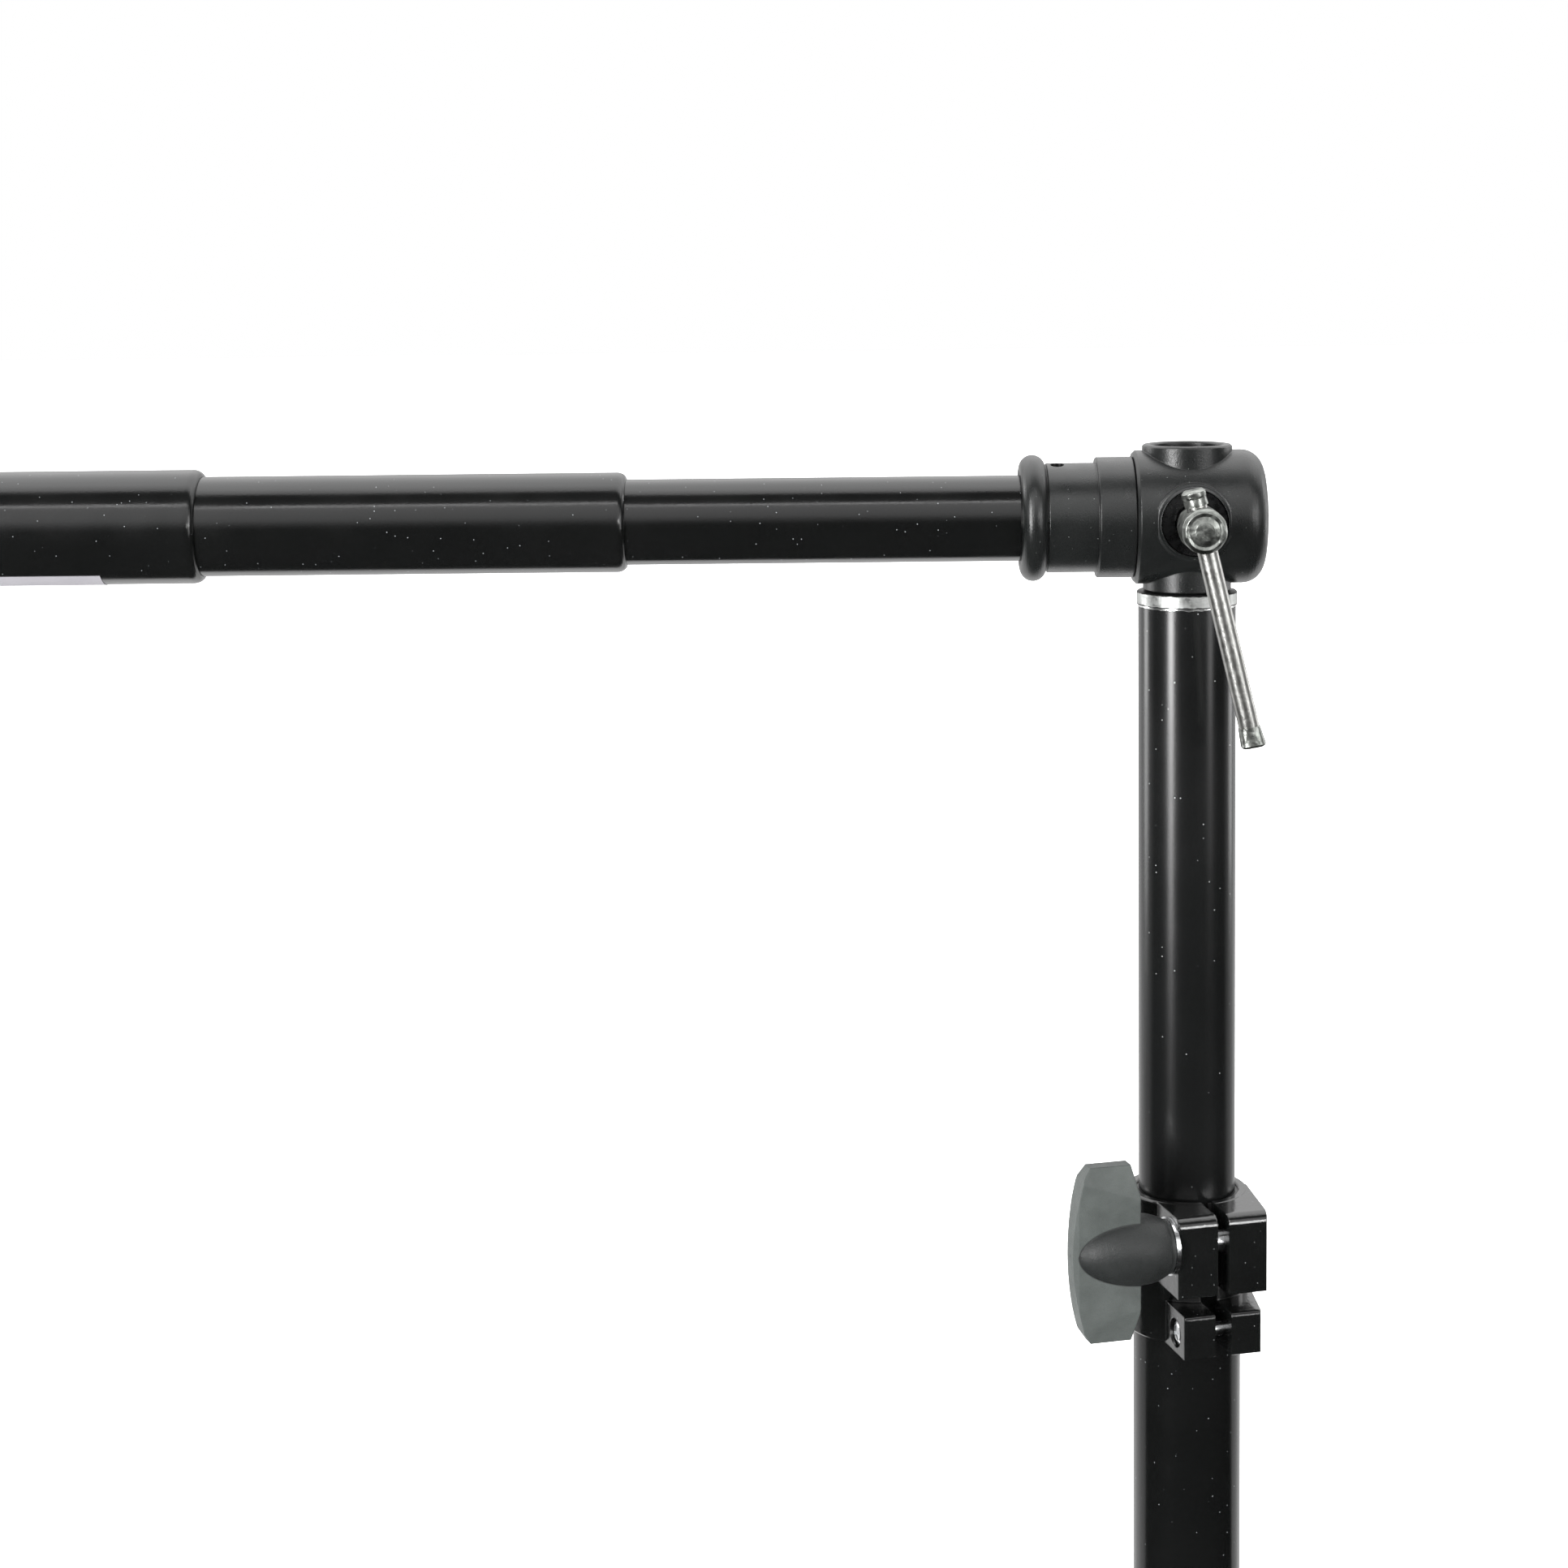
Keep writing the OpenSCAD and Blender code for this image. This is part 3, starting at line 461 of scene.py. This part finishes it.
PAINT = gloss_paint()
LUMPY = lumpy_paint()
SATIN = satin_paint()
CAST = cast_paint()
# The knob's material has painted light on its wing and painted shade on its hub.
KNOB_PAINTED_LIGHT_AND_SHADE = knob_plastic_painted_light_and_shade()
PLATED = metal("plated_bar_steel", (0.25, 0.25, 0.24), (0.54, 0.54, 0.52), (0.28, 0.40), 900, bump=0.35)
NICKEL = metal("cast_nickel", (0.10, 0.11, 0.10), (0.40, 0.41, 0.39), (0.27, 0.44), 700, bump=0.6)
ZINC = metal("zinc_plate", (0.60, 0.61, 0.62), (0.86, 0.87, 0.88), (0.18, 0.30), 900, bump=0.2)
ALUMINIUM = metal("bright_aluminium", (0.74, 0.75, 0.76), (0.93, 0.94, 0.95), (0.22, 0.36), 800,
                  stretch=(1, 1, 0.15), bump=0.3)
BLACKED = metal("blacked_steel", (0.02, 0.02, 0.021), (0.06, 0.06, 0.062), (0.22, 0.35), 1200)
BRASS = metal("pad_brass", (0.55, 0.42, 0.18), (0.78, 0.62, 0.32), (0.25, 0.4), 800)
NYLON = plain_plastic("white_nylon", (0.70, 0.69, 0.64), (0.80, 0.79, 0.75), 0.4)
DARK_NYLON = plain_plastic("black_nylon", (0.012, 0.012, 0.012), (0.022, 0.022, 0.022), 0.4)
RISER = riser_paint()
RING = ring_metal()
LABEL = plain_plastic("blank_label_film", (0.165, 0.16, 0.175), (0.20, 0.195, 0.21), 0.7)
RUBBER = plain_plastic("foot_rubber", (0.012, 0.012, 0.012), (0.028, 0.028, 0.028), 0.7)

LOOKS = {
    "gloss_black": PAINT, "satin_black": SATIN, "cast_black": CAST, "end_cast": CAST,
    "bright_aluminium": ALUMINIUM, "plated_steel": PLATED, "cast_nickel": NICKEL, "zinc_steel": ZINC,
    "black_steel": BLACKED, "brass": BRASS, "knob_plastic": KNOB_PAINTED_LIGHT_AND_SHADE, "white_nylon": NYLON,
    "black_nylon": DARK_NYLON, "foot_rubber": RUBBER,
}


def paint(obj, material):
    obj.data.materials.clear()
    obj.data.materials.append(material)
    return obj


def dress_cad_parts():
    for part in frame["record"]["subparts"]:
        obj = NODES[part["node"]]
        paint(obj, LOOKS[part["material_slot"]])
    paint(NODES["collar_body"], LUMPY)
    paint(NODES["riser_tube"], RISER)
    paint(NODES["riser_spigot"], RING)


# ---------------------------------------------------------------- detailed pieces

# The T-screws' threads, in millimetres.
THREAD_PITCH = 1.5
THREAD_DEPTH = 0.6


def add_thread(bm, matrix, r, low, high):
    """Adds a screw thread to a bmesh, as a ridge that winds round the shank. Lengths are in millimetres."""
    segments = 64
    steps = 10
    rows = int((high - low) / THREAD_PITCH * steps)
    grid = []
    for j in range(rows + 1):
        h = low + (high - low) * j / rows
        ring = []
        for k in range(segments):
            phase = (h / THREAD_PITCH - k / segments) % 1
            ridge = abs(2 * phase - 1)
            radius = r - THREAD_DEPTH * min(1, max(0, 1.25 * ridge - 0.12))
            a = 2 * math.pi * k / segments
            place = Vector((radius * math.cos(a), radius * math.sin(a), h))
            ring.append(bm.verts.new(matrix @ (place * MM)))
        grid.append(ring)
    for low_ring, high_ring in zip(grid, grid[1:]):
        for k in range(segments):
            n = (k + 1) % segments
            bm.faces.new([low_ring[k], low_ring[n], high_ring[n], high_ring[k]])
    bm.faces.new(grid[0])
    bm.faces.new(grid[-1])


# The T-screws' heads and their sliding bars, in millimetres. The head's own bar leans over.
SCREW_HEAD_R = 7.75
SCREW_HEAD_LEN = 19
BAR_AT = 9
BAR_R = 3.5
BAR_REACH = 75.8
LEAN = math.radians(13.3)

# Where the shank begins and where the head does, from the axis of the tube that the screw clamps.
HEAD_SCREW = (14.05, 35)
BASE_SCREW = (21.05, 45)


def bar_screw(node, body, origin, direction, up, span, shank_r):
    """Threaded shank, and a worn cast head with a raised rim, cut through for the sliding bar."""
    tip, head_at = span
    top = head_at + SCREW_HEAD_LEN
    rim = SCREW_HEAD_R
    screw = lathe(f"{node}_turned", [
        (0, head_at), (rim - 1.2, head_at, 0.3), (rim, head_at + 1.5, 0.8), (rim, top - 2, 1.3),
        (rim - 1.3, top - 0.5, 0.8), (rim - 2.6, top - 0.9, 0.9), (rim - 4.6, top - 0.4, 1.2),
        (0, top - 0.2)], origin, direction, 96, up, step=0.6)
    worn(screw, 0.35, 2.2)
    middle = origin + Vector(direction) * (head_at + BAR_AT) * MM
    hole_r = BAR_R + 0.1
    hole = lathe("hole", [(0, -20), (hole_r, -20), (hole_r, 20), (0, 20)], middle, up, 64, direction)
    combine(screw, hole, "DIFFERENCE")
    bm = bmesh.new()
    add_thread(bm, to_axis(origin, direction, up), shank_r, tip, head_at + 0.6)
    combine(screw, finish_bmesh("thread", bm), "UNION")
    paint(screw, NICKEL)
    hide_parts(node)
    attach(screw, body)


def bar_caps(node, body, origin, direction, front):
    """A worn round cap on the bar's upper end, and a square flared one on its lower end."""
    bore = BAR_R + 0.02
    seat = -SCREW_HEAD_R - 0.1
    upper = lathe(f"{node}_upper", [
        (0, seat - 6), (3.3, seat - 6, 0.6), (4.4, seat - 5, 0.6), (4.3, seat - 3.4, 0.3),
        (4.1, seat - 2.8, 0.3), (4.25, seat, 0.3), (bore, seat), (bore, seat - 5), (0, seat - 5)],
        origin, direction, 64, front, step=0.5)
    worn(upper, 0.4, 2.4)
    end = BAR_REACH
    lower = lathe(f"{node}_lower", [
        (bore, end - 7), (3.8, end - 7, 0.2), (4.35, end - 0.7, 0.5), (3.9, end, 0.4), (0, end),
        (0, end - 1), (bore, end - 1)],
        origin, direction, 64, front, step=0.5)
    frame_in = to_axis(origin, direction, front)
    frame_out = frame_in.inverted()

    def squared(place, normal):
        p = frame_out @ place
        r = math.hypot(p.x, p.y)
        if r < (bore + 0.05) * MM:
            return place
        power = (p.x / r) ** 4 + (p.y / r) ** 4
        swell = 0.55 + 0.45 * power ** -0.25
        return frame_in @ Vector((p.x * swell, p.y * swell * 0.93, p.z + 0.05 * p.x))
    reshape(lower, squared)
    worn(lower, 0.2, 1.5)
    for cap in (upper, lower):
        paint(cap, NICKEL)
        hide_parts(node)
        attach(cap, body)


def screws():
    lean = Vector((-math.sin(LEAN), 0, math.cos(LEAN)))
    bar_screw("t_screw", "head_screw", HEAD_AXIS, -Y, lean, HEAD_SCREW, 6)
    bar_caps("t_bar_caps", "head_bar", HEAD_AXIS - Y * (HEAD_SCREW[1] + BAR_AT) * MM, -lean, -Y)
    low_axis = Vector((0, 0, centre("base_screw").z))
    bar_screw("base_screw", "hub_screw", low_axis, X, Z, BASE_SCREW, 5)
    bar_caps("base_bar_caps", "hub_bar", low_axis + X * (BASE_SCREW[1] + BAR_AT) * MM, -Z, X)


def curved_label(name, span, angles, r, thickness, body):
    """Blank label on the crossbar: span along -X and angles from the front, in millimetres and degrees."""
    steps = 36
    bm = bmesh.new()
    rows = []
    for k in range(steps + 1):
        a = math.radians(angles[0] + (angles[1] - angles[0]) * k / steps)
        row = []
        for x, radius in ((span[0], r), (span[1], r), (span[1], r + thickness), (span[0], r + thickness)):
            place = Vector((-x, -radius * math.cos(a), radius * math.sin(a)))
            row.append(bm.verts.new(HEAD_AXIS + place * MM))
        rows.append(row)
    for low, high in zip(rows, rows[1:]):
        for k in range(4):
            n = (k + 1) % 4
            bm.faces.new([low[k], low[n], high[n], high[k]])
    bm.faces.new(rows[0])
    bm.faces.new(rows[-1])
    label = paint(finish_bmesh(name, bm), LABEL)
    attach(label, body)


def labels():
    curved_label("blank_label", (378, 520), (-51, -150), 20.02, 0.15, "arm_outer")


def sweep(bm, path, side, radius, segments, closed=False):
    """Adds a tube round a path. Side is a direction that the path never runs along; radius is a
    length, or a function that gives it for each point."""
    rings = []
    count = len(path)
    for i, p in enumerate(path):
        ahead = path[(i + 1) % count] if closed else path[min(i + 1, count - 1)]
        behind = path[i - 1] if closed else path[max(i - 1, 0)]
        along = (ahead - behind).normalized()
        u = (side - side.dot(along) * along).normalized()
        v = along.cross(u)
        r = radius(i) if callable(radius) else radius
        ring = []
        for k in range(segments):
            a = 2 * math.pi * k / segments
            ring.append(bm.verts.new(p + r * (math.cos(a) * u + math.sin(a) * v)))
        rings.append(ring)
    pairs = list(zip(rings, rings[1:]))
    if closed:
        pairs.append((rings[-1], rings[0]))
    for low, high in pairs:
        for k in range(segments):
            n = (k + 1) % segments
            bm.faces.new([low[k], low[n], high[n], high[k]])
    if not closed:
        bm.faces.new(rings[0])
        bm.faces.new(rings[-1])


# The bent legs and the welds on their sleeves, in millimetres.
LEG_R = 12.5
BEND_R = 60
BEND = math.radians(45)
LEG_RUN = 150
LEG_INSET = 6
FOOT_RUN = 70
FOOT_WALL = 3
SLEEVE_R = 27
WELD_R = 1.7
WELD_RIPPLE = 0.35
WELD_RIPPLES = 9


def leg_path(z, foot_z):
    """Centre line of a leg in its own plane, as (distance from the column, height) in millimetres."""
    points = [(SLEEVE_R - LEG_INSET, z), (LEG_RUN, z)]
    steps = 16
    for k in range(1, steps + 1):
        a = BEND * k / steps
        points.append((LEG_RUN + BEND_R * math.sin(a), z - BEND_R * (1 - math.cos(a))))
    drop = BEND_R * (1 - math.cos(BEND))
    fall = z - foot_z - 2 * drop
    low_x = points[-1][0] + fall
    for k in range(steps + 1):
        a = BEND * (1 - k / steps)
        points.append((low_x + BEND_R * (math.sin(BEND) - math.sin(a)), foot_z + BEND_R * (1 - math.cos(a))))
    points.append((points[-1][0] + FOOT_RUN, foot_z))
    return points


def leg(level, yaw, body):
    """A bent leg tube with the weld that joins it to its sleeve."""
    node = f"leg_{level}_tube"
    z = centre(f"leg_{level}_sleeve").z / MM
    foot_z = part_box(f"leg_{level}_foot")[1][2] / MM - LEG_R - FOOT_WALL
    a = math.radians(yaw)
    out = Vector((math.cos(a), math.sin(a), 0))
    across = Vector((-math.sin(a), math.cos(a), 0))
    bm = bmesh.new()
    path = [(out * x + Z * h) * MM for x, h in leg_path(z, foot_z)]
    sweep(bm, path, across, LEG_R * MM, 56)
    pipe = paint(finish_bmesh(f"leg_{level}_pipe", bm), PAINT)
    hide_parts(node)
    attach(pipe, body)
    bm = bmesh.new()
    rounds = 120
    ring = []
    for k in range(rounds):
        t = 2 * math.pi * k / rounds
        y = LEG_R * math.cos(t)
        h = LEG_R * math.sin(t)
        ring.append((out * math.sqrt(SLEEVE_R ** 2 - y ** 2) + across * y + Z * (z + h)) * MM)
    ripple = [abs(math.sin(WELD_RIPPLES * math.pi * k / rounds)) for k in range(rounds)]
    sweep(bm, ring, out, lambda i: (WELD_R + WELD_RIPPLE * ripple[i]) * MM, 12, closed=True)
    weld = paint(finish_bmesh(f"leg_{level}_weld", bm, 60), PAINT)
    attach(weld, body)


def legs():
    leg("high", 180, "stand")
    leg("mid", 60, "leg_mid")
    leg("low", -60, "leg_low")


# ---------------------------------------------------------------- stage, light and camera

FLOOR_HALF = 30


def stage():
    """A white floor that isn't part of the object and isn't seen in reflections."""
    bm = bmesh.new()
    half = FLOOR_HALF
    for x, y in ((-half, -half), (half, -half), (half, half), (-half, half)):
        bm.verts.new((x, y, 0))
    bm.faces.new(bm.verts)
    floor = finish_bmesh("floor", bm)
    s = Shader("pale_floor")
    s.set(Base_Color=(0.95, 0.95, 0.95, 1), Roughness=0.9)
    s.set(Emission_Color=(1, 1, 1, 1), Emission_Strength=1.0)
    paint(floor, s.material)
    floor.visible_glossy = False


# Brightness round the studio, by angle: 0 faces the camera's side, 90 is straight up, 180 is behind.
STUDIO = [
    (-180, 0.8), (-150, 1.0), (-128, 1.8), (-120, 0.012), (-2, 0.012), (6, 0.3), (18, 1.2), (46, 1.8),
    (52, 0.2), (80, 0.06), (86, 2.2), (100, 3.0), (145, 2.0), (165, 1.0), (180, 0.8),
]
BRIGHTEST = 3.0

# Towards the two ends, between these shares of +X or -X, the bands fade to this share of themselves.
SIDE_FADE = (0.62, 0.92)
SIDE_LEVEL = 0.25


def world():
    """White to look at. In reflections: pale behind, a panel in front above eye level, and dark below it."""
    studio = bpy.data.worlds.new("studio")
    bpy.context.scene.world = studio
    studio.use_nodes = True
    g = Graph(studio.node_tree)
    split = g.nodes.new("ShaderNodeSeparateXYZ")
    g.links.new(g.nodes.new("ShaderNodeTexCoord").outputs["Generated"], split.inputs["Vector"])
    front = g.math("MULTIPLY", split.outputs["Y"], -1)
    angle = g.math("ARCTAN2", split.outputs["Z"], front)
    bands = g.nodes.new("ShaderNodeValToRGB")
    stops = bands.color_ramp.elements
    stops[0].position = 0
    stops[1].position = 1
    for degrees, _ in STUDIO[1:-1]:
        stops.new((degrees + 180) / 360)
    for stop, (_, level) in zip(stops, STUDIO):
        stop.color = (level / BRIGHTEST,) * 3 + (1,)
    g.links.new(g.ramp(angle, -math.pi, math.pi, 0, 1), bands.inputs["Fac"])
    sideways = g.math("ABSOLUTE", split.outputs["X"], 0)
    fade = g.ramp(sideways, *SIDE_FADE, BRIGHTEST, SIDE_LEVEL * BRIGHTEST)
    reflected = g.math("MULTIPLY", bands.outputs["Color"], fade)
    seen = g.nodes.new("ShaderNodeLightPath").outputs["Is Camera Ray"]
    sky = g.nodes["Background"]
    sky.inputs["Color"].default_value = (1, 1, 1, 1)
    g.links.new(g.math("MAXIMUM", reflected, seen), sky.inputs["Strength"])


def soft_light(name, place, target, width, height, power):
    data = bpy.data.lights.new(name, "AREA")
    data.shape = "RECTANGLE"
    data.size = width
    data.size_y = height
    data.energy = power
    lamp = bpy.data.objects.new(name, data)
    bpy.context.scene.collection.objects.link(lamp)
    lamp.location = place
    lamp.rotation_euler = (target - place).to_track_quat("-Z", "Y").to_euler()


def around(azimuth, elevation, distance):
    """A place seen from the head: azimuth 0 is towards the camera, positive towards +X."""
    a = math.radians(azimuth)
    e = math.radians(elevation)
    level = Vector((math.sin(a), -math.cos(a), 0))
    return HEAD_AXIS + distance * (level * math.cos(e) + Z * math.sin(e))


def lights():
    soft_light("left_softbox", around(-44, 6, 2.2), HEAD_AXIS, 0.46, 1.5, 60)
    soft_light("right_softbox", around(50, 6, 2.4), HEAD_AXIS, 0.5, 1.4, 10)
    soft_light("side_softbox", around(-118, 4, 2.4), HEAD_AXIS, 0.6, 1.6, 18)
    soft_light("far_side_softbox", around(118, 4, 2.4), HEAD_AXIS, 0.6, 1.6, 11)
    soft_light("front_strip", around(33, 7, 2.2), HEAD_AXIS, 0.8, 0.09, 7)
    soft_light("top_strip", around(-10, 50, 2.0), HEAD_AXIS - 0.3 * X, 1.8, 0.12, 4)


def camera():
    """Just above the crossbar, looking slightly down and to the left."""
    data = bpy.data.cameras.new("camera")
    data.sensor_width = 36
    data.lens = 70.66
    data.shift_y = -0.18
    cam = bpy.data.objects.new("camera", data)
    bpy.context.scene.collection.objects.link(cam)
    yaw = math.radians(0.87)
    pitch = math.radians(5.35)
    roll = math.radians(0.68)
    cam.location = HEAD_AXIS + Vector((-0.1242, -1.07, 0.1068))
    cam.rotation_euler = (Matrix.Rotation(yaw, 4, "Z") @ Matrix.Rotation(math.pi / 2 - pitch, 4, "X")
                          @ Matrix.Rotation(-roll, 4, "Z")).to_euler()
    bpy.context.scene.camera = cam


def colour_management():
    view = bpy.context.scene.view_settings
    view.view_transform = "Standard"
    view.look = "None"


# ---------------------------------------------------------------- build

dress_cad_parts()
screws()
labels()
legs()
stage()
world()
lights()
camera()
colour_management()
